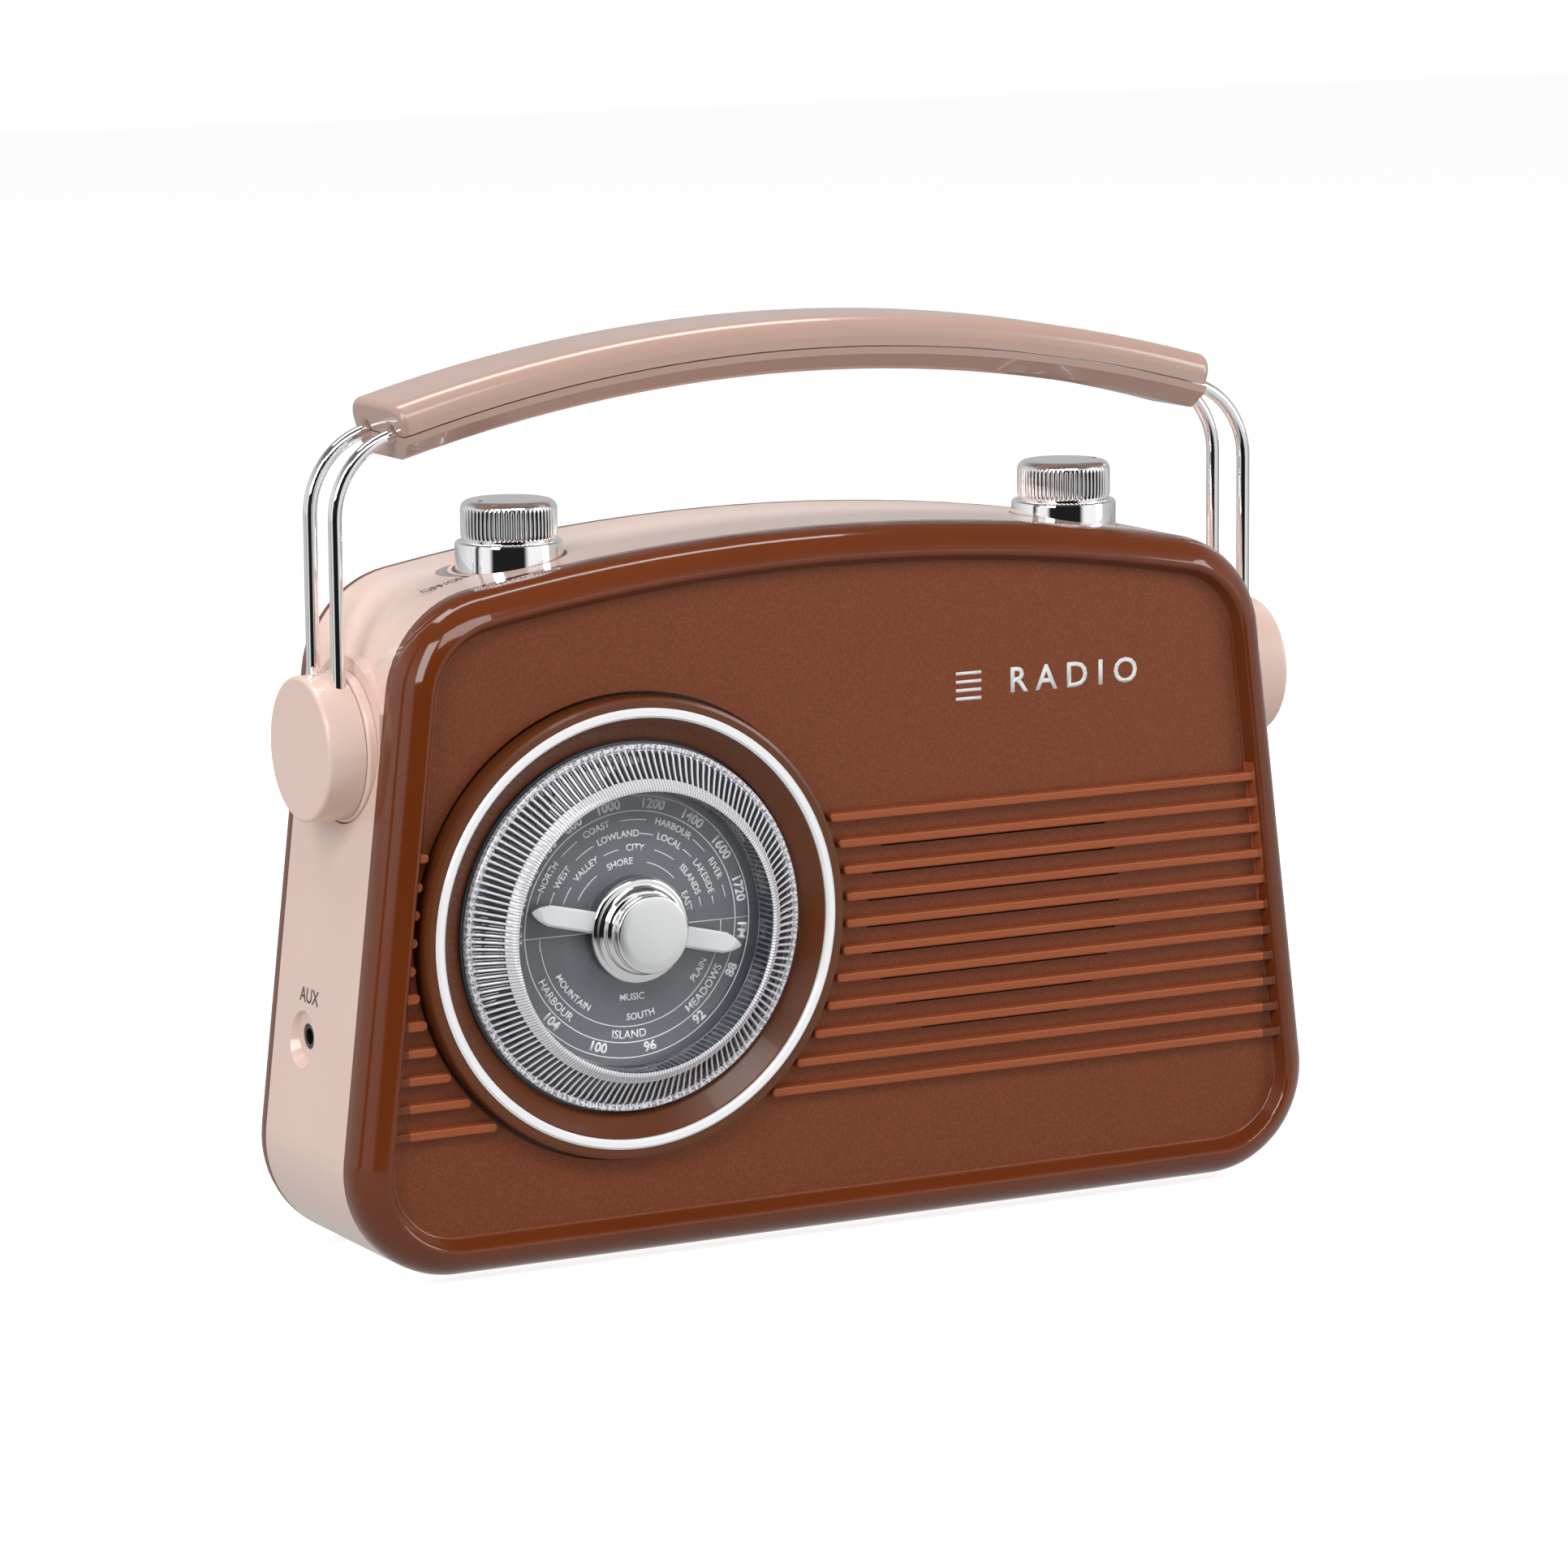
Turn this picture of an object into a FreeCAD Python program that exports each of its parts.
import FreeCAD, Part
import math
import os
import Sketcher
from FreeCAD import Placement, Rotation, Vector

# Retro portable radio: brown bezel and rear cover, tan middle shell, swinging handle.
# X runs to the right, Y into the depth (front at -Y), Z up; millimetres.
# The origin is under the middle of the object, on the plane its rubber feet stand on.

DIMENSIONS = {
    # case outline, seen from the front
    "base_z": 1.2, "foot_half": 122.9, "side_lean": 6.76, "corner_r": 24.0,
    "arch_r": 480.0, "arch_top": 157.7, "wall": 2.4,
    # planes along the depth
    "crest_y": -26.65, "rib_y": -24.65, "panel_y": -22.15, "panel_back_y": -19.95,
    "post_end_y": 31.3,
    "seam_y": -15.65, "rear_seam_y": 25.85, "rear_y": 33.85, "axis_y": 1.75,
    # front bezel
    "frame_round": 9.0, "rim_inset": 6.4, "panel_inset": 8.4, "rim_round": 1.2,
    "panel_round": 1.0, "rib_pitch": 6.0, "rib_first_z": 93.85, "rib_half": 1.05,
    "rib_tip_r": 52.3, "rib_round": 0.5, "slot_r": 32.7, "slot_half": 0.35,
    # dial
    "dial_x": -53.9, "dial_z": 74.1, "dial_hole_r": 51.5, "surround_r": 50.7,
    "surround_front_y": -26.75, "trim_in_r": 46.2, "trim_out_r": 48.36,
    "trim_front_y": -27.2, "dish_r": 41.2, "dish_y": -22.6, "cup_back_y": -19.4,
    "plate_r": 40.6, "plate_y": -22.4, "plate_back_y": -21.45, "dial_r": 40.2,
    "dial_crest_r": 31.4, "dial_crest_y": -31.15, "window_r": 30.5,
    "window_y": -25.6, "window_back_y": -24.4, "hub_r": 11.7, "hub_neck_r": 8.0,
    "hub_cap_r": 8.55, "hub_front_y": -33.85,
    "pointer_r": 26.0, "pointer_turn": 13.35, "pointer_half": 2.35,
    "tuning_shaft_r": 3.0,
    # loudspeaker
    "speaker_x": 37.5, "speaker_z": 71.0, "speaker_r": 38.0, "magnet_r": 17.5,
    "speaker_screw_r": 28.6, "post_r": 3.5,
    # knobs
    "knob_x": 69.8, "knob_r": 10.55, "skirt_r": 11.85, "well_r": 12.6, "well_floor_z": 146.0,
    "skirt_base_z": 147.0, "skirt_top_z": 157.2, "knob_top_z": 166.3, "flute_r": 0.36,
    "board_z": 128.0, "board_thick": 1.6, "shaft_r": 3.0, "shaft_top_z": 162.0,
    # handle
    "pivot_z": 115.2, "cap_r": 15.8, "cap_in_x": 111.7, "cap_out_x": 120.4,
    "flange_r": 16.6, "flange_in_x": 109.4, "flange_out_x": 111.5, "boss_r": 19.5,
    "rod_x": 113.8, "rod_gap": 6.5, "rod_r": 1.5, "rod_bend_r": 18.0, "rod_fit": 0.06,
    "grip_arc_r": 368.0, "grip_seam_z": 196.0, "grip_half_x": 100.0,
    "grip_top": 6.8, "grip_drop": 5.4, "grip_half_y": 13.2, "grip_low_half_y": 9.6,
    # side socket
    "aux_y": 11.05, "aux_z": 50.4, "aux_bore_r": 1.8, "aux_nose_r": 2.75, "dimple_r": 6.4,
    # batteries
    "cell_r": 13.1, "cell_len": 50.0, "bay_half_x": 56.0, "bay_low_z": 8.8, "bay_top_z": 66.0,
    # aerial
    "ledge_z": 138.4, "ledge_y": 27.6, "aerial_x": 84.0, "aerial_y": 30.8, "aerial_z": 143.0,
    "mast_r": 2.9, "mast_len": 140.0,
}

doc = FreeCAD.newDocument("portable_radio")
sheet = doc.addObject("Spreadsheet::Sheet", "Dims")
for row, (alias, value) in enumerate(DIMENSIONS.items(), start=1):
    sheet.set("A%d" % row, alias)
    sheet.set("B%d" % row, str(value))
    sheet.setAlias("B%d" % row, alias)
doc.recompute()

PIECES = []


def dim(name):
    """The sheet's value of one driving dimension."""
    return float(getattr(sheet, name))


def bind(obj, prop, expression):
    """Ties a property to the sheet; each name of a dimension stands for its cell."""
    words = []
    word = ""
    for letter in expression + " ":
        if letter.isalnum() or letter == "_":
            word += letter
            continue
        words.append("Dims." + word if word in DIMENSIONS else word)
        words.append(letter)
        word = ""
    obj.setExpression(prop, "".join(words).strip())


def body(name):
    """A new part-design body, which is one node."""
    new_body = doc.addObject("PartDesign::Body", name)
    new_body.Label = name
    PIECES.append(new_body)
    return new_body


def sketch(owner, role, offset="0"):
    """A sketch on one of the body's origin planes, moved along that plane's normal."""
    new_sketch = owner.newObject("Sketcher::SketchObject", owner.Label + "_sketch")
    plane = [o for o in owner.Origin.OriginFeatures if o.Role == role][0]
    new_sketch.AttachmentSupport = [(plane, "")]
    new_sketch.MapMode = "FlatFace"
    bind(new_sketch, "AttachmentOffset.Base.z", offset)
    return new_sketch


def front(owner, depth):
    """A sketch facing forward at the depth given; sketch axes are X and Z."""
    return sketch(owner, "XZ_Plane", "-1 * (%s)" % depth)


def circle(target, across, up, radius):
    """A circle whose centre and radius are tied to the sheet."""
    index = target.addGeometry(Part.Circle(Vector(0, 0, 0), Vector(0, 0, 1), 1.0), False)
    for kind, first, second, expression in (("Radius", index, None, radius),
                                            ("DistanceX", index, 3, across),
                                            ("DistanceY", index, 3, up)):
        if second is None:
            number = target.addConstraint(Sketcher.Constraint(kind, first, 1.0))
        else:
            number = target.addConstraint(Sketcher.Constraint(kind, -1, 1, first, second, 1.0))
        bind(target, "Constraints[%d]" % number, expression)


def polygon(target, points):
    """A closed chain of straight lines."""
    ends = points[1:] + points[:1]
    for (x0, y0), (x1, y1) in zip(points, ends):
        target.addGeometry(Part.LineSegment(Vector(x0, y0, 0), Vector(x1, y1, 0)), False)


def rectangle(target, x0, x1, y0, y1):
    polygon(target, [(x0, y0), (x1, y0), (x1, y1), (x0, y1)])


def feature(owner, kind, profile, **settings):
    """A sketch-based feature, with its lengths tied to the sheet where they are text."""
    new_feature = owner.newObject("PartDesign::" + kind, owner.Label + "_" + kind.lower())
    new_feature.Profile = profile
    profile.Visibility = False
    for name, value in settings.items():
        if isinstance(value, str) and name in ("Length", "Length2", "Angle"):
            bind(new_feature, name, value)
        else:
            setattr(new_feature, name, value)
    return new_feature


def pad(owner, profile, length, **settings):
    return feature(owner, "Pad", profile, Length=length, **settings)


def pocket(owner, profile, length, **settings):
    """A pocket that must take material away."""
    doc.recompute()
    before = owner.Shape.Volume
    cut = feature(owner, "Pocket", profile, Length=length, **settings)
    doc.recompute()
    if not owner.Shape.Volume < before - 1e-6:
        raise RuntimeError("the pocket %s cuts nothing" % cut.Label)
    return cut


def revolve(owner, profile, axis, kind="Revolution"):
    """A full turn of a profile about a sketch axis, V_Axis or H_Axis."""
    return feature(owner, kind, profile, ReferenceAxis=(profile, [axis]), Angle=360.0)


def round_edges(owner, radius, test):
    """A fillet on every edge that passes the test."""
    doc.recompute()
    base = owner.Tip
    names = ["Edge%d" % (i + 1) for i, e in enumerate(base.Shape.Edges) if test(e)]
    if not names:
        raise RuntimeError("no edge to round on " + owner.Label)
    fillet = owner.newObject("PartDesign::Fillet", owner.Label + "_fillet")
    fillet.Base = (base, names)
    bind(fillet, "Radius", radius)
    base.Visibility = False
    doc.recompute()
    check(fillet)
    return fillet


def check(obj):
    """Stops at a failed feature."""
    if "Invalid" in obj.State or "Error" in obj.State:
        raise RuntimeError("%s failed: %s" % (obj.Label, obj.State))


def flat_at(edge, axis, place, tolerance=0.02):
    """Whether the whole edge lies in one plane across the axis given."""
    bounds = edge.BoundBox
    low = getattr(bounds, axis + "Min")
    high = getattr(bounds, axis + "Max")
    return abs(low - place) < tolerance and abs(high - place) < tolerance


def lathe(name, points, place, direction):
    """A turned piece: profile of (radius, height), turned about the direction given."""
    turned = body(name)
    profile = sketch(turned, "XZ_Plane")
    polygon(profile, points)
    revolve(turned, profile, "V_Axis")
    turned.Placement = Placement(Vector(*place), Rotation(Vector(0, 0, 1), Vector(*direction)))
    return turned


def front_lathe(name, x, z, points):
    """A piece turned about a line along Y; its profile gives radius and Y."""
    return lathe(name, [(r, -y) for r, y in points], (dim(x), 0, dim(z)), (0, -1, 0))


def block(name, x, y, z):
    """A plain box from low and high expressions along each axis."""
    box = doc.addObject("Part::Box", name)
    box.Label = name
    PIECES.append(box)
    for prop, side, (low, high) in (("Length", "x", x), ("Width", "y", y), ("Height", "z", z)):
        bind(box, prop, "(%s) - (%s)" % (high, low))
        bind(box, "Placement.Base." + side, low)
    return box


def group(name, shapes):
    """Several separate identical solids kept as one node."""
    holder = doc.addObject("Part::Feature", name)
    holder.Shape = Part.makeCompound(shapes)
    holder.Label = name
    PIECES.append(holder)
    return holder


def rod(radius, start, end):
    """A round bar between two points."""
    reach = Vector(*end) - Vector(*start)
    return Part.makeCylinder(radius, reach.Length, Vector(*start), reach)


def screw(head_r, head_len, shank_r, shank_len, place, direction):
    """A pan-head screw whose head's underside is at the place given."""
    along = Vector(*direction)
    shank = Part.makeCylinder(shank_r, shank_len, Vector(*place), along)
    cap = Part.makeCylinder(head_r, head_len, Vector(*place), along * -1)
    rim = [e for e in cap.Edges if e.Length > 6 * head_r - 0.5 * head_r]
    cap = cap.makeFillet(0.3 * head_len, rim[-1:]) if rim else cap
    return shank.fuse(cap).removeSplitter()


# ---------------------------------------------------------------- case outline
LEAN = math.radians(dim("side_lean"))
SIDE_NORMAL = (math.cos(LEAN), math.sin(LEAN))
SIDE_REACH = dim("foot_half") * SIDE_NORMAL[0] + dim("base_z") * SIDE_NORMAL[1]
ARCH_Z = dim("arch_top") - dim("arch_r")
LOW_Z = dim("base_z") + dim("corner_r")
LOW_X = (SIDE_REACH - dim("corner_r") - LOW_Z * SIDE_NORMAL[1]) / SIDE_NORMAL[0]


def top_corner():
    """Centre of the upper corner's round: inside the arch, and touching the side."""
    reach = SIDE_REACH - dim("corner_r") - ARCH_Z * SIDE_NORMAL[1]
    span = dim("arch_r") - dim("corner_r")
    tilt = math.acos(reach / span)
    return span * math.cos(LEAN + tilt), ARCH_Z + span * math.sin(LEAN + tilt), LEAN + tilt


TOP_X, TOP_Z, TOP_ANGLE = top_corner()


def half_width(height):
    """Half the case's width at a height on its straight sides."""
    return (SIDE_REACH - height * SIDE_NORMAL[1]) / SIDE_NORMAL[0]


def arch_height(across):
    """Height of the arched top at a distance from the middle."""
    return ARCH_Z + math.sqrt(dim("arch_r") ** 2 - across ** 2)


def arc(target, x, z, radius, start, end):
    ring = Part.Circle(Vector(x, z, 0), Vector(0, 0, 1), radius)
    target.addGeometry(Part.ArcOfCircle(ring, start, end), False)


def line(target, start, end):
    target.addGeometry(Part.LineSegment(Vector(*start, 0), Vector(*end, 0)), False)


def outline(target, inset):
    """The case outline, drawn the inset inside its outer edge."""
    small = dim("corner_r") - inset
    large = dim("arch_r") - inset
    quarter = math.pi / 2

    def side_point(x, z, sign):
        return sign * (x + small * SIDE_NORMAL[0]), z + small * SIDE_NORMAL[1]

    line(target, (-LOW_X, LOW_Z - small), (LOW_X, LOW_Z - small))
    arc(target, LOW_X, LOW_Z, small, -quarter, LEAN)
    line(target, side_point(LOW_X, LOW_Z, 1), side_point(TOP_X, TOP_Z, 1))
    arc(target, TOP_X, TOP_Z, small, LEAN, TOP_ANGLE)
    arc(target, 0, ARCH_Z, large, TOP_ANGLE, math.pi - TOP_ANGLE)
    arc(target, -TOP_X, TOP_Z, small, math.pi - TOP_ANGLE, math.pi - LEAN)
    line(target, side_point(TOP_X, TOP_Z, -1), side_point(LOW_X, LOW_Z, -1))
    arc(target, -LOW_X, LOW_Z, small, math.pi - LEAN, 3 * quarter)


# ---------------------------------------------------------------- front bezel
RIB_COUNT = 11
SLOT_ROWS = range(1, 9)
POSTS = [(-104, 16), (104, 16), (-88, 128), (88, 128)]
CORNERS = [(-1, -1), (1, -1), (-1, 1), (1, 1)]
SPEAKER_SCREWS = [(dim("speaker_x") + sx * dim("speaker_screw_r"),
                   dim("speaker_z") + sz * dim("speaker_screw_r")) for sx, sz in CORNERS]


def bore(owner, depth, x, z, radius, length):
    """A blind hole going forward from the depth given."""
    mouth = front(owner, depth)
    circle(mouth, str(x), str(z), radius)
    pocket(owner, mouth, length, Reversed=True)


def rib_height(row):
    return dim("rib_first_z") - row * dim("rib_pitch")


def capsule(target, x0, x1, z, half, round_left, round_right):
    """A bar from x0 to x1 with a rounded end where asked."""
    quarter = math.pi / 2
    line(target, (x0, z - half), (x1, z - half))
    line(target, (x1, z + half), (x0, z + half))
    if round_right:
        arc(target, x1, z, half, -quarter, quarter)
    else:
        line(target, (x1, z - half), (x1, z + half))
    if round_left:
        arc(target, x0, z, half, quarter, 3 * quarter)
    else:
        line(target, (x0, z + half), (x0, z - half))


def draw_ribs(target):
    """Bars from the frame to the dial, on both its sides, ending round beside it."""
    half = dim("rib_half")
    for row in range(RIB_COUNT):
        z = rib_height(row)
        into_frame = half_width(z) - dim("rim_inset") - 0.3
        reach = math.sqrt(dim("rib_tip_r") ** 2 - (z - dim("dial_z")) ** 2)
        right_tip = dim("dial_x") + reach + half
        left_tip = dim("dial_x") - reach - half
        capsule(target, right_tip, into_frame, z, half, True, False)
        capsule(target, -into_frame, max(left_tip, 0.8 - into_frame), z, half, False, True)


def draw_slots(target):
    """Sound slots under the upper ribs, inside one circle in front of the cone."""
    for row in SLOT_ROWS:
        z = rib_height(row) - dim("rib_half") - dim("slot_half") - 0.05
        reach = math.sqrt(dim("slot_r") ** 2 - (z - dim("speaker_z")) ** 2)
        rectangle(target, dim("speaker_x") - reach, dim("speaker_x") + reach,
                  z - dim("slot_half"), z + dim("slot_half"))


def front_bezel():
    bezel = body("front_bezel")
    blank = front(bezel, "crest_y")
    outline(blank, 0.0)
    pad(bezel, blank, "seam_y - crest_y", Reversed=True)
    round_edges(bezel, "frame_round", lambda e: flat_at(e, "Y", dim("crest_y")))
    rim = front(bezel, "crest_y - 0.5")
    outline(rim, dim("rim_inset"))
    floor = front(bezel, "panel_y")
    outline(floor, dim("panel_inset"))
    well = bezel.newObject("PartDesign::SubtractiveLoft", "front_bezel_well")
    well.Profile = rim
    well.Sections = [floor]
    well.Ruled = True
    round_edges(bezel, "rim_round", lambda e: rim_edge(e))
    round_edges(bezel, "panel_round", lambda e: flat_at(e, "Y", dim("panel_y")))
    ribs = front(bezel, "panel_y")
    draw_ribs(ribs)
    pad(bezel, ribs, "panel_y - rib_y")
    round_edges(bezel, "rib_round", rib_edge)
    hollow = front(bezel, "seam_y")
    outline(hollow, dim("wall"))
    pocket(bezel, hollow, "seam_y - panel_back_y", Reversed=True)
    hole = front(bezel, "seam_y")
    circle(hole, "dial_x", "dial_z", "dial_hole_r")
    pocket(bezel, hole, "seam_y - crest_y", Reversed=True)
    slots = front(bezel, "seam_y")
    draw_slots(slots)
    pocket(bezel, slots, "seam_y - rib_y - 0.3", Reversed=True)
    posts = front(bezel, "panel_back_y")
    for x, z in POSTS:
        circle(posts, str(x), str(z), "post_r")
    pad(bezel, posts, "post_end_y - panel_back_y", Reversed=True)
    for x, z in POSTS:
        bore(bezel, "post_end_y", x, z, "1.2", "12")
    bosses = front(bezel, "panel_back_y")
    for x, z in SPEAKER_SCREWS:
        circle(bosses, str(x), str(z), "2.4")
    pad(bezel, bosses, "1.5", Reversed=True)
    for x, z in SPEAKER_SCREWS:
        bore(bezel, "panel_back_y + 1.5", x, z, "1.0", "2.9")


def rim_edge(edge):
    """The edge between the frame's big round and its inner wall."""
    bounds = edge.BoundBox
    return dim("crest_y") - 0.01 < bounds.YMin and bounds.YMax < dim("crest_y") + 1.2


def rib_edge(edge):
    """A front edge of a rib, except on the four stubs too short to round."""
    return flat_at(edge, "Y", dim("rib_y")) and edge.CenterOfMass.x > -103.9


# ---------------------------------------------------------------- dial
def dial_group():
    """The dial's pieces, all turned about one line along Y."""
    front_y = dim("surround_front_y")
    seat_y = dim("trim_front_y") + 1.75
    floor_y = dim("plate_back_y") + 0.05
    dish_r = dim("dish_r")
    outer = dim("surround_r")
    front_lathe("dial_surround", "dial_x", "dial_z", [
        (4.0, floor_y), (dish_r, floor_y), (dish_r, dim("dish_y")), (45.8, front_y + 0.55),
        (46.1, front_y + 0.55), (46.1, seat_y), (48.46, seat_y), (48.46, front_y),
        (outer - 0.9, front_y), (outer - 0.25, front_y + 0.3), (outer, front_y + 0.9),
        (outer, -19.85), (52.8, -19.85), (52.8, -18.2), (outer - 2, -18.2),
        (outer - 2, dim("cup_back_y")), (4.0, dim("cup_back_y"))])
    front_lathe("dial_trim_ring", "dial_x", "dial_z", [
        (dim("trim_in_r"), seat_y - 0.05), (dim("trim_in_r"), front_y),
        (dim("trim_in_r") + 0.5, dim("trim_front_y")),
        (dim("trim_out_r") - 0.5, dim("trim_front_y")), (dim("trim_out_r"), front_y),
        (dim("trim_out_r"), seat_y - 0.05)])
    front_lathe("dial_plate", "dial_x", "dial_z", [
        (3.6, dim("plate_back_y")), (dim("plate_r"), dim("plate_back_y")),
        (dim("plate_r"), dim("plate_y")), (3.6, dim("plate_y"))])
    window_y = dim("window_y")
    back_y = dim("window_back_y")
    crest_y = dim("dial_crest_y")
    rim_r = dim("dial_r")
    bore_r = dim("tuning_shaft_r") + 0.05
    front_lathe("tuning_dial", "dial_x", "dial_z", [
        (bore_r, back_y), (bore_r, window_y), (dim("window_r"), window_y),
        (dim("window_r") + 0.3, crest_y), (dim("window_r") + 1.7, crest_y),
        (rim_r - 1, -25.4), (rim_r - 1, -24.75), (rim_r, -24.75), (rim_r, -22.9),
        (rim_r - 1.8, -22.9), (33.0, -27.6), (32.4, back_y)])
    front_lathe("tuning_hub", "dial_x", "dial_z", [
        (bore_r, -26.7), (11.3, -26.7), (dim("hub_r"), -27.0), (dim("hub_r"), -27.6),
        (11.0, -28.15), (9.8, -28.2), (9.0, -28.7), (8.9, -29.6), (dim("hub_neck_r"), -29.9),
        (dim("hub_neck_r"), -31.4), (8.7, -31.7), (8.7, -32.4), (bore_r, -32.4)])
    cap_r = dim("hub_cap_r")
    front_lathe("tuning_hub_cap", "dial_x", "dial_z", [
        (0, -32.45), (cap_r, -32.45), (cap_r, dim("hub_front_y") + 0.4),
        (cap_r - 0.4, dim("hub_front_y")), (0, dim("hub_front_y"))])
    front_lathe("tuning_shaft", "dial_x", "dial_z", [
        (0, -32.3), (dim("tuning_shaft_r"), -32.3), (dim("tuning_shaft_r"), -10.6), (0, -10.6)])


def tuning_pointer():
    """A flat two-ended hand with bevelled tips, held under the hub."""
    hand = body("tuning_pointer")
    reach = dim("pointer_r")
    half = dim("pointer_half")
    shape = front(hand, "window_y - 0.05")
    polygon(shape, [(-reach, 0.7), (-reach, -0.7), (3.4 - reach, -half), (reach - 3.4, -half),
                    (reach, -0.7), (reach, 0.7), (reach - 3.4, half), (3.4 - reach, half)])
    pad(hand, shape, "1.0")
    eye = front(hand, "window_y - 0.05")
    circle(eye, "0", "0", "6.0")
    pad(hand, eye, "1.0")
    hole = front(hand, "window_y - 2")
    circle(hole, "0", "0", "tuning_shaft_r + 0.05")
    pocket(hand, hole, "4")
    hand.Placement = Placement(Vector(dim("dial_x"), 0, dim("dial_z")),
                               Rotation(Vector(0, 1, 0), dim("pointer_turn")))


def tuning_capacitor():
    """The boxed variable capacitor that the dial's shaft turns."""
    box = body("tuning_capacitor")
    face = front(box, "-14")
    half = 13.0
    rectangle(face, dim("dial_x") - half, dim("dial_x") + half,
              dim("dial_z") - half, dim("dial_z") + half)
    pad(box, face, "11.9", Reversed=True)
    hole = front(box, "-14")
    circle(hole, "dial_x", "dial_z", "tuning_shaft_r + 0.08")
    pocket(box, hole, "4")


# ---------------------------------------------------------------- loudspeaker
def loudspeaker():
    """The loudspeaker's pieces, turned about its own line along Y."""
    outer = dim("speaker_r")
    magnet = dim("magnet_r")

    def turned(name, points):
        front_lathe(name, "speaker_x", "speaker_z", points)

    turned("grille_cloth", [(0, -19.9), (36.5, -19.9), (36.5, -19.45), (0, -19.45)])
    turned("speaker_basket", [
        (33.0, -19.4), (outer, -19.4), (outer, -18.45), (35.0, -18.45), (20.6, -6.2),
        (20.6, -5.2), (12.0, -5.2), (12.0, -6.2), (19.6, -6.2), (33.6, -18.0), (33.0, -18.3)])
    turned("speaker_surround", [
        (28.8, -17.0), (29.8, -18.6), (31.6, -18.9), (32.9, -18.3), (32.9, -17.9),
        (31.5, -18.4), (30.1, -18.1), (29.3, -16.9)])
    turned("speaker_cone", [
        (28.7, -17.0), (28.7, -16.3), (6.2, -7.9), (5.35, -7.9), (5.35, -8.6), (6.2, -8.6)])
    turned("speaker_dust_cap", [
        (0, -13.0), (5.0, -12.3), (9.4, -10.1), (8.8, -10.0), (4.8, -11.8), (0, -12.5)])
    turned("voice_coil", [(4.75, -8.5), (5.3, -8.5), (5.3, -1.5), (4.75, -1.5)])
    turned("speaker_magnet", [(6.0, -5.15), (magnet, -5.15), (magnet, 0.6), (6.0, 0.6)])
    turned("speaker_yoke", [(0, -8.0), (4.5, -8.0), (4.5, 0.65), (magnet - 0.5, 0.65),
                            (magnet - 0.5, 2.2), (0, 2.2)])
    group("speaker_screws", [screw(2.6, 1.3, 1.0, 2.6, (x, -18.4, z), (0, -1, 0))
                             for x, z in SPEAKER_SCREWS])


# ---------------------------------------------------------------- middle shell
SIDES = (("left", -1), ("right", 1))


def side_disc(owner, x, y, z, radius, length, sign, cut=False):
    """A round pad or pocket along X from the plane at x, going outward."""
    face = sketch(owner, "YZ_Plane", "%d * (%s)" % (sign, x))
    circle(face, y, z, radius)
    if cut:
        return pocket(owner, face, length, Reversed=sign > 0)
    return pad(owner, face, length, Reversed=sign < 0)


def pivot_boss(shell, sign):
    """A round boss under each pivot, cut flush at the front seam."""
    face = sketch(shell, "YZ_Plane", "%d * 103.6" % sign)
    radius = dim("boss_r")
    cut = dim("seam_y") - dim("axis_y")
    angle = math.acos(cut / radius)
    arc(face, dim("axis_y"), dim("pivot_z"), radius, -angle, angle)
    top = dim("pivot_z") + radius * math.sin(angle)
    low = dim("pivot_z") - radius * math.sin(angle)
    line(face, (dim("seam_y"), top), (dim("seam_y"), low))
    pad(shell, face, "flange_in_x - 103.7", Reversed=sign < 0)


def middle_shell():
    shell = body("middle_shell")
    wall = front(shell, "seam_y + 0.02")
    outline(wall, 0.0)
    outline(wall, dim("wall"))
    pad(shell, wall, "rear_seam_y - seam_y - 0.04", Reversed=True)
    for _side, sign in SIDES:
        pivot_boss(shell, sign)
        side_disc(shell, "flange_in_x - 0.1", "axis_y", "pivot_z", "flange_r + 0.2", "14",
                  sign, cut=True)
        side_disc(shell, "98", "axis_y", "pivot_z", "3.1", "16", sign, cut=True)
    for sign in (-1, 1):
        knob_well(shell, sign)
    side_socket(shell)


def knob_well(shell, sign):
    """The round well that each top knob's skirt turns in."""
    place = "%d * knob_x" % sign
    cup = sketch(shell, "XY_Plane", "well_floor_z - 2.4")
    circle(cup, place, "axis_y", "well_r + 1.8")
    pad(shell, cup, "6.4")
    mouth = sketch(shell, "XY_Plane", "well_floor_z + 14")
    circle(mouth, place, "axis_y", "well_r")
    pocket(shell, mouth, "14")
    hole = sketch(shell, "XY_Plane", "well_floor_z + 1")
    circle(hole, place, "axis_y", "shaft_r + 0.3")
    pocket(shell, hole, "5")


def side_socket(shell):
    """A dished recess in the left side with the jack's hole in its floor."""
    side_disc(shell, "109.6", "aux_y", "aux_z", "dimple_r + 1.8", "5.5", -1)
    dish = shell.newObject("PartDesign::SubtractiveLoft", "middle_shell_dimple")
    outer = sketch(shell, "YZ_Plane", "-118.0")
    circle(outer, "aux_y", "aux_z", "dimple_r + 0.4")
    inner = sketch(shell, "YZ_Plane", "-115.5")
    circle(inner, "aux_y", "aux_z", "dimple_r - 1.2")
    dish.Profile = outer
    dish.Sections = [inner]
    side_disc(shell, "106", "aux_y", "aux_z", "aux_nose_r + 0.1", "12", -1, cut=True)


def side_jack():
    """The 3.5 mm socket: a nose in the recess and a block behind it."""
    jack = body("aux_jack")
    side_disc(jack, "100.5", "aux_y", "aux_z", "5.2", "8.9", -1)
    side_disc(jack, "109.4", "aux_y", "aux_z", "aux_nose_r", "5.9", -1)
    mouth = sketch(jack, "YZ_Plane", "-101.8")
    circle(mouth, "aux_y", "aux_z", "aux_bore_r")
    pocket(jack, mouth, "14")


# ---------------------------------------------------------------- rear cover
VENT_COUNT = 7


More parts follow.
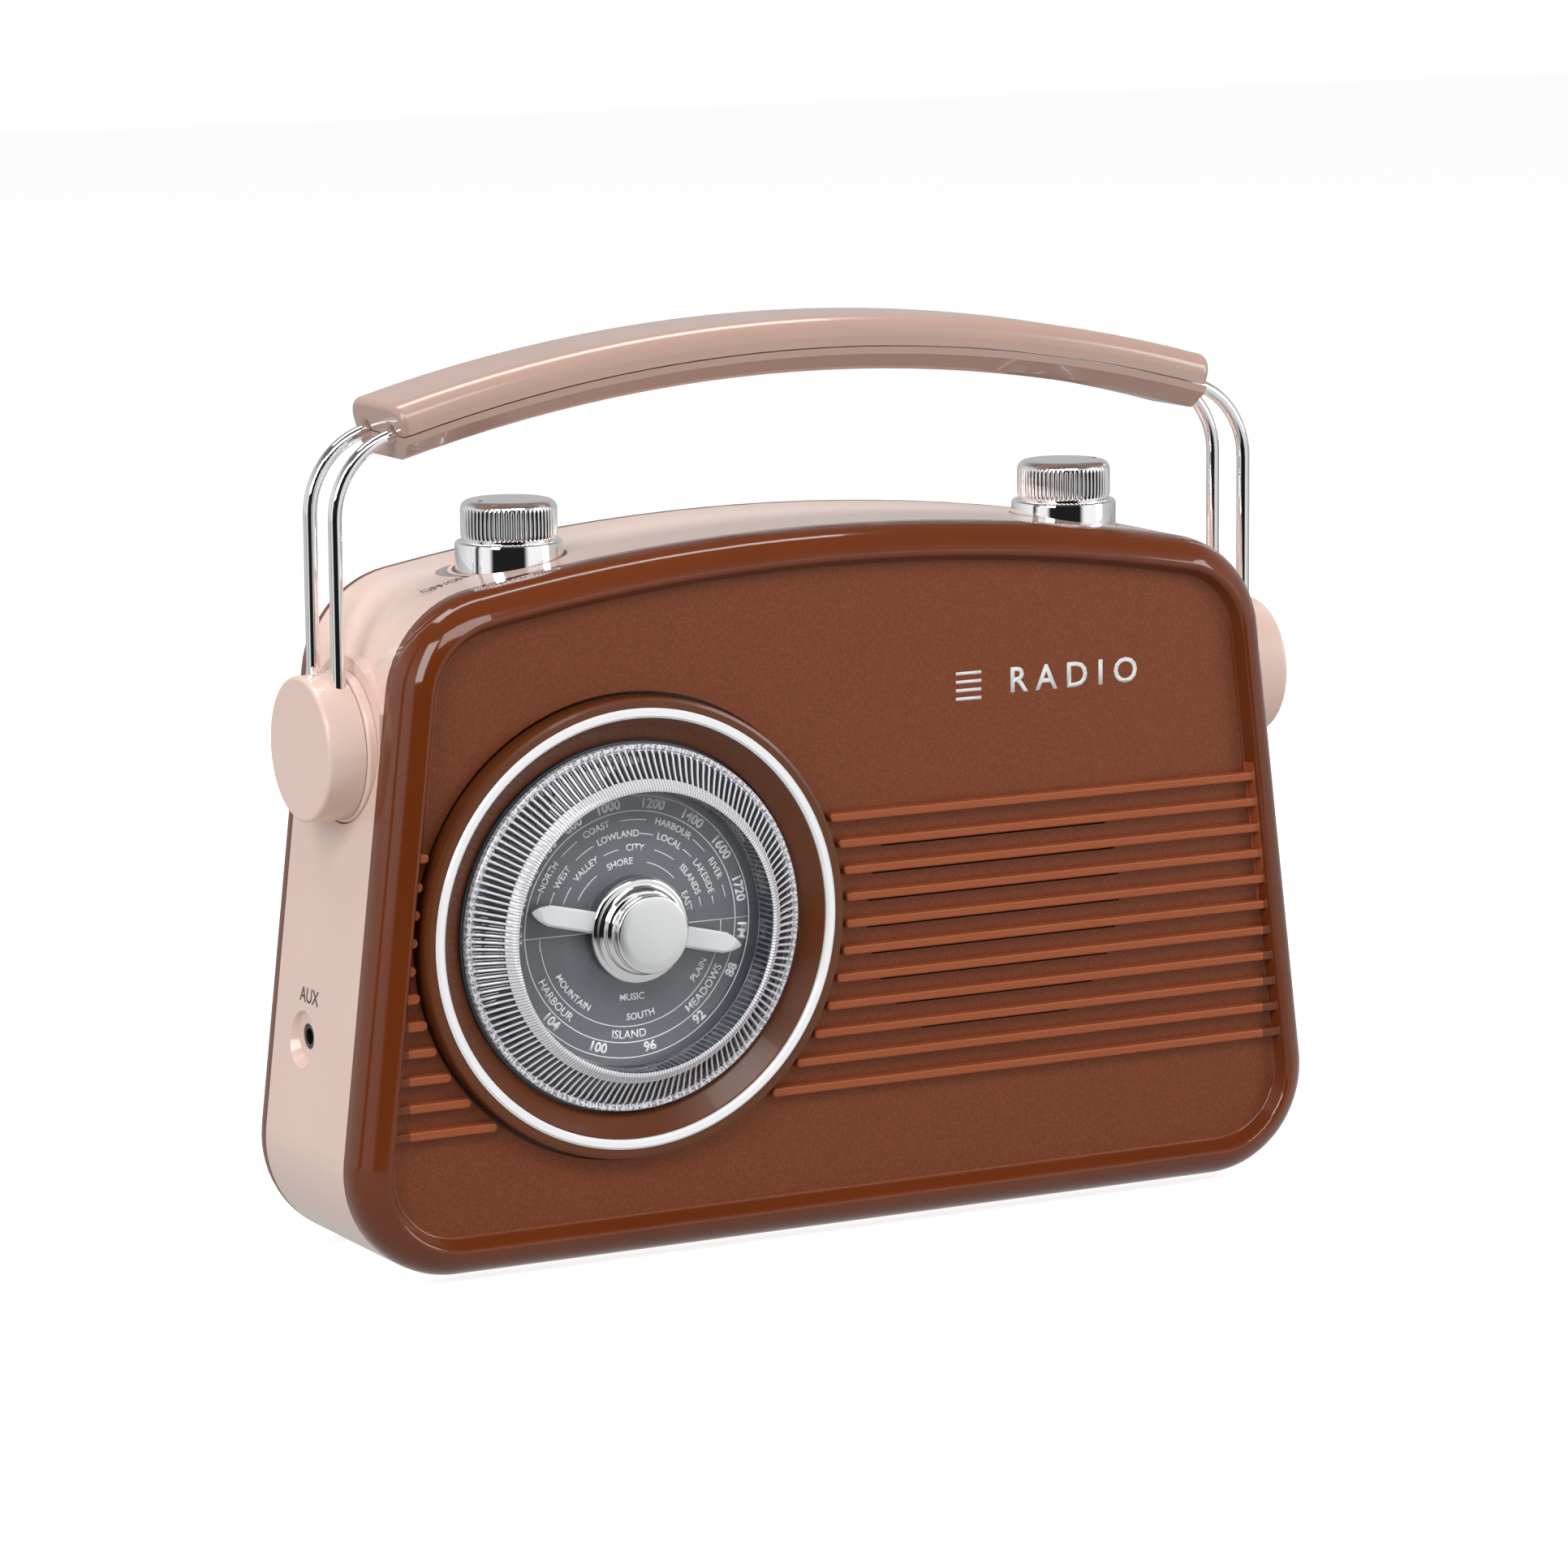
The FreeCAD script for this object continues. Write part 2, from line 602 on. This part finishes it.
def rear_cover():
    cover = body("rear_cover")
    blank = front(cover, "rear_seam_y")
    outline(blank, 0.0)
    pad(cover, blank, "rear_y - rear_seam_y", Reversed=True)
    round_edges(cover, "7.0", lambda e: flat_at(e, "Y", dim("rear_y")))
    above = front(cover, "rear_y + 1")
    rectangle(above, -130, 130, dim("ledge_z"), 170)
    pocket(cover, above, "rear_y + 2 - rear_seam_y", Reversed=True)
    hollow = front(cover, "rear_seam_y")
    small = dim("corner_r") - dim("wall")
    ceiling = dim("ledge_z") - 2.2
    reach = half_width(ceiling) - dim("wall")
    foot = half_width(LOW_Z) - dim("wall")
    base = dim("base_z") + dim("wall")
    polygon(hollow, [(small - foot, base), (foot - small, base), (foot, LOW_Z), (reach, ceiling),
                     (-reach, ceiling), (-foot, LOW_Z)])
    pocket(cover, hollow, "rear_y - wall - rear_seam_y")
    bay = front(cover, "rear_y - 4")
    rectangle(bay, -dim("bay_half_x"), dim("bay_half_x"), dim("bay_low_z"), dim("bay_top_z"))
    pocket(cover, bay, "6")
    vents = front(cover, "rear_y - 4")
    for row in range(VENT_COUNT):
        z = 82.0 + 6 * row
        capsule(vents, -34, 34, z, 1.1, True, True)
    pocket(cover, vents, "6")
    for x, z in POSTS:
        hole = front(cover, "rear_y - 4")
        circle(hole, str(x), str(z), "1.6")
        pocket(cover, hole, "6")
        sink = front(cover, "rear_y - 1.5")
        circle(sink, str(x), str(z), "2.9")
        pocket(cover, sink, "3")
    inlet = front(cover, "rear_y - 4")
    circle(inlet, "84", "34", "4.1")
    pocket(cover, inlet, "6")


def rear_rim():
    """The thin plate over the ledge, which closes the arch and carries the aerial."""
    rim = body("rear_rim")
    blank = front(rim, "rear_seam_y")
    outline(blank, 0.0)
    pad(rim, blank, "ledge_y - rear_seam_y", Reversed=True)
    below = front(rim, "ledge_y + 1")
    rectangle(below, -130, 130, -5, dim("ledge_z") + 0.02)
    pocket(rim, below, "ledge_y + 2 - rear_seam_y", Reversed=True)
    stud = front(rim, "rear_seam_y - 1")
    circle(stud, "aerial_x", "aerial_z", "2.08")
    pocket(rim, stud, "4")


def rear_fittings():
    """The screws, the supply socket and the feet."""
    group("case_screws", [screw(2.6, 1.3, 1.2, 12.2, (x, dim("rear_y") - 1.45, z), (0, -1, 0))
                          for x, z in POSTS])
    socket = body("dc_jack")
    nose = front(socket, "rear_y - 0.6")
    circle(nose, "84", "34", "4.0")
    pad(socket, nose, "3")
    barrel = front(socket, "rear_y - 3.6")
    circle(barrel, "84", "34", "5.6")
    pad(socket, barrel, "9")
    mouth = front(socket, "rear_y - 9.6")
    circle(mouth, "84", "34", "2.9")
    pocket(socket, mouth, "12")
    pin = front(socket, "rear_y - 2")
    circle(pin, "84", "34", "1.0")
    pad(socket, pin, "8")
    for end, y in (("front", -7.0), ("rear", 17.0)):
        for side, sign in SIDES:
            foot = body("foot_%s_%s" % (end, side))
            disc = sketch(foot, "XY_Plane", "0")
            circle(disc, str(sign * 84), str(y), "5.5")
            pad(foot, disc, "base_z")


# ---------------------------------------------------------------- knobs and controls
FLUTES = 60


def top_knob(name, sign, mark_angle):
    """A chrome knob: skirt, groove, fluted cap with a rounded top, and a bore for its shaft."""
    knob = body(name)
    profile = sketch(knob, "XZ_Plane")
    cap_r = dim("knob_r")
    skirt_r = dim("skirt_r")
    step = dim("skirt_top_z")
    bore_r = dim("shaft_r") + 0.03
    polygon(profile, [
        (bore_r, dim("skirt_base_z")), (skirt_r, dim("skirt_base_z")), (skirt_r, step),
        (cap_r - 0.3, step), (cap_r - 0.3, step + 0.4), (cap_r, step + 0.4),
        (cap_r, dim("knob_top_z") - 0.4), (cap_r * 0.6, dim("knob_top_z") - 0.05),
        (0, dim("knob_top_z")), (0, dim("shaft_top_z") + 0.2), (bore_r, dim("shaft_top_z") + 0.2)])
    revolve(knob, profile, "V_Axis")
    round_edges(knob, "0.9", lambda e: flat_at(e, "Z", step) and e.BoundBox.XMax > skirt_r - 0.1)
    round_edges(knob, "1.7", lambda e: flat_at(e, "Z", dim("knob_top_z") - 0.4))
    flute = sketch(knob, "XY_Plane", "knob_top_z - 1.6")
    circle(flute, "knob_r + 0.12", "0", "flute_r")
    cut = pocket(knob, flute, "knob_top_z - 1.6 - skirt_top_z - 0.4")
    turn = knob.newObject("PartDesign::PolarPattern", name + "_flutes")
    turn.Originals = [cut]
    turn.Axis = ([o for o in knob.Origin.OriginFeatures if o.Role == "Z_Axis"][0], [""])
    turn.Angle = 360.0
    turn.Occurrences = FLUTES
    knob.Tip = turn
    mark = sketch(knob, "XY_Plane", "knob_top_z + 1")
    turn_by = math.radians(mark_angle)
    circle(mark, str(round(6 * math.cos(turn_by), 3)), str(round(6 * math.sin(turn_by), 3)), "0.5")
    pocket(knob, mark, "1.5")
    knob.Placement = Placement(Vector(sign * dim("knob_x"), dim("axis_y"), 0), Rotation())


def top_control(name, shaft_name, sign, body_r):
    """A rotary control on the upper board, and the shaft that its knob is pushed on."""
    board_top = dim("board_z") + dim("board_thick")
    place = (sign * dim("knob_x"), dim("axis_y"), 0)
    bush_r = dim("shaft_r") + 0.08
    lathe(name, [(bush_r, board_top + 1.5), (0, board_top + 1.5), (0, board_top + 0.05),
                 (body_r, board_top + 0.05), (body_r, 137.0), (5.0, 137.0), (5.0, 141.5),
                 (bush_r, 141.5)], place, (0, 0, 1))
    lathe(shaft_name, [(0, board_top + 1.6), (dim("shaft_r"), board_top + 1.6),
                       (dim("shaft_r"), dim("shaft_top_z")), (0, dim("shaft_top_z"))],
          place, (0, 0, 1))


def controls():
    top_knob("volume_knob", -1, 190)
    top_knob("band_knob", 1, -10)
    top_control("volume_pot", "volume_shaft", -1, 8.5)
    top_control("band_switch", "band_shaft", 1, 7.5)


# ---------------------------------------------------------------- boards
BOARD_HOLES = [(-94, 45), (-94, 103), (-12, 45), (-12, 103)]


def boards():
    """The two circuit boards, what they carry, and the ferrite aerial."""
    block("control_board", ("-82", "82"), ("-9", "20"), ("board_z", "board_z + board_thick"))
    board = body("main_board")
    face = front(board, "-2")
    rectangle(face, -98, -6, 42, 106)
    for x, z in BOARD_HOLES:
        circle(face, str(x), str(z), "1.05")
    pad(board, face, "1.6", Reversed=True)
    chips = [Part.makeBox(9, 3, 12, Vector(-30, -5.1, 84)),
             Part.makeBox(7, 2.4, 7, Vector(-94, -4.5, 66)),
             Part.makeBox(8, 4, 8, Vector(-84, -6.1, 92))]
    cans = [rod(3.0, (x, -2.1, 50), (x, -9.5, 50)) for x in (-84, -74, -36, -26)]
    group("board_components", chips + cans)
    group("board_screws", [screw(2.2, 1.2, 1.0, 1.4, (x, -2.05, z), (0, 1, 0))
                           for x, z in BOARD_HOLES])
    lathe("ferrite_rod", [(0, -45), (4.0, -45), (4.0, 45), (0, 45)], (0, 14, 135), (1, 0, 0))
    lathe("ferrite_coil", [(4.06, -22), (5.1, -22), (5.1, 8), (4.06, 8)], (0, 14, 135), (1, 0, 0))
    holders = []
    for x in (-40, 36):
        stand = Part.makeBox(4, 12, 11.2, Vector(x, 8, 129.65))
        holders.append(stand.cut(rod(4.06, (x - 1, 14, 135), (x + 5, 14, 135))))
    group("ferrite_holders", holders)


# ---------------------------------------------------------------- batteries
def battery_bay():
    """The tray, its four cells, their contacts, and the door in the rear cover."""
    tray = body("battery_tray")
    half = dim("bay_half_x")
    low = dim("bay_low_z")
    top = dim("bay_top_z")
    outer = front(tray, "2.9")
    rectangle(outer, -half - 1.8, half + 1.8, low - 1.8, top + 1.8)
    pad(tray, outer, "rear_y - wall - 0.1 - 2.9", Reversed=True)
    inner = front(tray, "4.7")
    rectangle(inner, -half, half, low, top)
    pocket(tray, inner, "30")
    radius = dim("cell_r")
    depth = 5.0 + radius
    rows = (low + 0.4 + radius, low + 0.9 + 3 * radius)
    cells = []
    for row, z in enumerate(rows):
        toward = 1 if row == 0 else -1
        for start in (-50.2, 0.2) if toward > 0 else (50.2, -0.2):
            nub = start + toward * dim("cell_len")
            can = rod(radius, (start, depth, z), (nub - toward * 1.6, depth, z))
            rim = [e for e in can.Edges if e.Length > 6 * radius]
            can = can.makeFillet(0.6, rim)
            cells.append(can.fuse(rod(3.3, (nub - toward * 2, depth, z), (nub, depth, z))))
    group("battery_cells", cells)
    contacts = []
    for z in rows:
        for sign in (-1, 1):
            start = sign * 50.45
            contacts.append(contact(start, sign, depth, z))
    group("battery_contacts", contacts)
    door = body("battery_door")
    plate = front(door, "rear_y - 2")
    rectangle(plate, 0.4 - half, half - 0.4, low + 1.6, top - 0.4)
    pad(door, plate, "2", Reversed=True)
    round_edges(door, "0.5", lambda e: flat_at(e, "Y", dim("rear_y")))
    knuckle = sketch(door, "YZ_Plane", "0.4 - bay_half_x")
    circle(knuckle, "rear_y - 1", "bay_low_z + 1.6", "0.96")
    pad(door, knuckle, "2 * bay_half_x - 0.8")
    grip = front(door, "rear_y - 1")
    capsule(grip, -9, 9, top - 6.5, 2.4, True, True)
    pocket(door, grip, "2")


def contact(start, sign, y, z):
    """A plate on the tray's end wall with a coil spring reaching to the cell."""
    coil_r = 4.0
    pitch = 1.5
    length = 4.2
    wall_x = sign * (dim("bay_half_x") - 0.05)
    plate = Part.makeBox(0.5, 12, 12, Vector(wall_x - (0.5 if sign > 0 else 0), y - 6, z - 6))
    helix = Part.makeHelix(pitch, length, coil_r)
    wire = Part.Wire(helix.Edges)
    section = Part.Wire([Part.Edge(Part.Circle(Vector(coil_r, 0, 0), Vector(0, 1, 0), 0.4))])
    spring = wire.makePipeShell([section], True, False)
    spring.Placement = Placement(Vector(start + sign * 0.5, y, z),
                                 Rotation(Vector(0, 0, 1), Vector(sign, 0, 0)))
    return plate.fuse(spring)


# ---------------------------------------------------------------- handle
GRIP_CENTRE_Z = dim("grip_seam_z") - dim("grip_arc_r")
GRIP_ANGLE = 2 * math.degrees(math.asin(dim("grip_half_x") / dim("grip_arc_r")))


def sweep_grip(name, draw):
    """A grip half: its cross-section turned about the centre of the handle's arc."""
    half = body(name)
    section = sketch(half, "YZ_Plane")
    draw(section)
    turned = revolve(half, section, "H_Axis")
    turned.Midplane = True
    turned.Angle = GRIP_ANGLE
    channel = sketch(half, "YZ_Plane")
    for sign in (-1, 1):
        circle(channel, "axis_y + %d * rod_gap" % sign, "grip_arc_r", "rod_r + rod_fit")
    groove = revolve(half, channel, "H_Axis", kind="Groove")
    groove.Midplane = True
    groove.Angle = GRIP_ANGLE + 6
    half.Placement = Placement(Vector(0, 0, GRIP_CENTRE_Z), Rotation())
    return half


def draw_upper(section):
    """Flat below, rounded shoulders above."""
    seam = dim("grip_arc_r") + 0.15
    top = dim("grip_arc_r") + dim("grip_top")
    side = dim("grip_half_y")
    middle = dim("axis_y")
    shoulder = 4.6
    line(section, (middle - side, seam), (middle + side, seam))
    line(section, (middle + side, seam), (middle + side, top - shoulder))
    arc(section, middle + side - shoulder, top - shoulder, shoulder, 0, math.pi / 2)
    line(section, (middle + side - shoulder, top), (middle - side + shoulder, top))
    arc(section, middle - side + shoulder, top - shoulder, shoulder, math.pi / 2, math.pi)
    line(section, (middle - side, top - shoulder), (middle - side, seam))


def draw_lower(section):
    """Narrower below than at the seam."""
    seam = dim("grip_arc_r") - 0.15
    low = dim("grip_arc_r") - dim("grip_drop")
    middle = dim("axis_y")
    wide = dim("grip_half_y") - 0.2
    slim = dim("grip_low_half_y")
    polygon(section, [(middle - wide, seam), (middle - wide + 0.3, seam - 1.6),
                      (middle - slim, low + 0.7), (middle - slim + 1.2, low),
                      (middle + slim - 1.2, low), (middle + slim, low + 0.7),
                      (middle + wide - 0.3, seam - 1.6), (middle + wide, seam)])


def grip_screws():
    """The two screws that hold the grip's halves together, from below."""
    screws = []
    for sign in (-1, 1):
        lean = math.radians(sign * 12.4)
        out = (math.sin(lean), 0, math.cos(lean))
        reach = dim("grip_arc_r") - dim("grip_drop") + 1.6
        place = (out[0] * reach, dim("axis_y"), GRIP_CENTRE_Z + out[2] * reach)
        screws.append(screw(2.0, 1.2, 0.9, 5.0, place, out))
    return screws


def clear_screws(half):
    """The two screw holes with their sunk heads, along the handle's radius."""
    reach = dim("grip_arc_r") - dim("grip_drop")
    for sign in (-1, 1):
        lean = sign * 12.4
        for radius, start, end in ((2.2, -2.0, 1.6), (0.95, 1.6, 6.9)):
            hole = doc.addObject("PartDesign::SubtractiveCylinder", half.Label + "_screw_hole")
            half.addObject(hole)
            hole.Radius = radius
            hole.Height = end - start
            turn = Rotation(Vector(0, 1, 0), lean)
            hole.Placement = Placement(turn.multVec(Vector(0, 0, reach + start))
                                       + Vector(0, dim("axis_y"), 0), turn)
            half.Tip = hole
            doc.recompute()


def end_edge(edge):
    """An edge on either end face of a grip half, away from its flat seam."""
    middle = edge.CenterOfMass
    bounds = edge.BoundBox
    height = math.hypot(middle.x, middle.z)
    tilt = abs(abs(math.degrees(math.atan2(middle.x, middle.z))) - GRIP_ANGLE / 2)
    return tilt < 0.03 and bounds.XLength < 3 and height > dim("grip_arc_r") + 0.6


def handle():
    upper = sweep_grip("grip_upper", draw_upper)
    round_edges(upper, "1.6", end_edge)
    clear_screws(upper)
    lower = sweep_grip("grip_lower", draw_lower)
    clear_screws(lower)
    group("grip_screws", grip_screws())
    handle_rod("handle_rod_front", -1)
    handle_rod("handle_rod_rear", 1)


def handle_rod(name, sign):
    """A bent rod: up from one pivot, through the grip along its seam, down to the other."""
    bar = body(name)
    depth = "axis_y + %d * rod_gap" % sign
    path = front(bar, depth)
    foot_z = dim("pivot_z") + 4.0
    bend = dim("rod_bend_r")
    rod_x = dim("rod_x")
    bend_x = rod_x - bend
    bend_z = GRIP_CENTRE_Z + math.sqrt((dim("grip_arc_r") - bend) ** 2 - bend_x ** 2)
    meet = math.atan2(bend_z - GRIP_CENTRE_Z, bend_x)
    line(path, (-rod_x, foot_z), (-rod_x, bend_z))
    arc(path, -bend_x, bend_z, bend, math.pi - meet, math.pi)
    arc(path, 0, GRIP_CENTRE_Z, dim("grip_arc_r"), meet, math.pi - meet)
    arc(path, bend_x, bend_z, bend, 0, meet)
    line(path, (rod_x, bend_z), (rod_x, foot_z))
    section = sketch(bar, "XY_Plane", str(foot_z))
    circle(section, "-1 * rod_x", depth, "rod_r")
    pipe = bar.newObject("PartDesign::AdditivePipe", name + "_pipe")
    pipe.Profile = section
    pipe.Spine = path


def pivots():
    """On each side: the cap the rods stand in, the fixed flange, and the pivot bolt."""
    bolts = []
    for side, sign in SIDES:
        cap = body("pivot_cap_" + side)
        side_disc(cap, "cap_in_x", "axis_y", "pivot_z", "cap_r", "cap_out_x - cap_in_x", sign)
        outer_x = sign * dim("cap_out_x")
        round_edges(cap, "0.9", lambda e, x=outer_x: flat_at(e, "X", x))
        for way in (-1, 1):
            hole = sketch(cap, "XY_Plane", "pivot_z + cap_r + 2")
            circle(hole, "%d * rod_x" % sign, "axis_y + %d * rod_gap" % way, "rod_r + rod_fit")
            pocket(cap, hole, "cap_r - 1.95")
        bolt_hole = sketch(cap, "YZ_Plane", "%d * (cap_in_x + 4.6)" % sign)
        circle(bolt_hole, "axis_y", "pivot_z", "3.02")
        pocket(cap, bolt_hole, "6", Reversed=sign < 0)
        flange = body("pivot_flange_" + side)
        side_disc(flange, "flange_in_x", "axis_y", "pivot_z", "flange_r",
                  "flange_out_x - flange_in_x", sign)
        face_x = sign * dim("flange_out_x")
        round_edges(flange, "0.7", lambda e, x=face_x: flat_at(e, "X", x))
        side_disc(flange, "100", "axis_y", "pivot_z", "3.1", "14", sign, cut=True)
        start = (sign * 103.3, dim("axis_y"), dim("pivot_z"))
        bolts.append(screw(6.0, 2.2, 3.0, dim("cap_in_x") + 4.5 - 103.3, start, (sign, 0, 0)))
    group("pivot_bolts", bolts)


# ---------------------------------------------------------------- telescopic aerial
def aerial():
    """A swivel on the ledge of the rear cover, and a mast of three sliding sections."""
    x = dim("aerial_x")
    y = dim("aerial_y")
    z = dim("aerial_z")
    swivel = rod(4.4, (x, 27.75, z), (x, 33.6, z))
    swivel = swivel.cut(Part.makeBox(11, 8, 2.0, Vector(x - 8.4, 28.3, z - 1)))
    swivel = swivel.fuse(rod(2.0, (x, 25.6, z), (x, 27.75, z)))
    swivel = swivel.fuse(rod(3.4, (x, 23.6, z), (x, 25.7, z)))
    swivel = swivel.fuse(rod(0.9, (x, y, z - 3.2), (x, y, z + 3.2))).removeSplitter()
    group("antenna_swivel", [swivel])
    mast_start = x - 5.5
    mast_end = mast_start - dim("mast_len")
    mast = rod(dim("mast_r"), (mast_start, y, z), (mast_end, y, z))
    tongue = rod(2.4, (x, y, z - 0.95), (x, y, z + 0.95))
    neck = Part.makeBox(5.6, 4.8, 1.9, Vector(mast_start - 0.1, y - 2.4, z - 0.95))
    mast = mast.fuse(tongue.fuse(neck)).cut(rod(0.95, (x, y, z - 3), (x, y, z + 3)))
    mast = mast.cut(rod(2.42, (mast_start - 2, y, z), (mast_end - 1, y, z)))
    group("antenna_mast", [mast])
    second = rod(2.35, (mast_start - 3, y, z), (mast_end - 1.2, y, z))
    second = second.cut(rod(1.87, (mast_start - 5, y, z), (mast_end - 3, y, z)))
    group("antenna_section_2", [second])
    tip = rod(2.9, (mast_end - 2.65, y, z), (mast_end - 7.5, y, z))
    tip = tip.makeFillet(0.9, [e for e in tip.Edges if e.Length > 15])
    third = rod(1.8, (mast_start - 6, y, z), (mast_end - 4, y, z))
    group("antenna_section_3", [third.fuse(tip).removeSplitter()])


# ---------------------------------------------------------------- build and write
def write_parts():
    """Checks every feature and shape, and writes one STEP file for each piece."""
    doc.recompute()
    for obj in doc.Objects:
        check(obj)
    os.makedirs("parts", exist_ok=True)
    for piece in PIECES:
        shape = piece.Shape
        if shape.isNull() or not shape.isValid():
            raise RuntimeError("%s has no valid shape" % piece.Label)
        shape.exportStep("parts/%s.step" % piece.Label)
        print("%-20s solids %d volume %.0f" % (piece.Label, len(shape.Solids), shape.Volume))


front_bezel()
dial_group()
tuning_pointer()
tuning_capacitor()
loudspeaker()
middle_shell()
side_jack()
rear_cover()
rear_rim()
rear_fittings()
controls()
boards()
battery_bay()
handle()
pivots()
aerial()
write_parts()
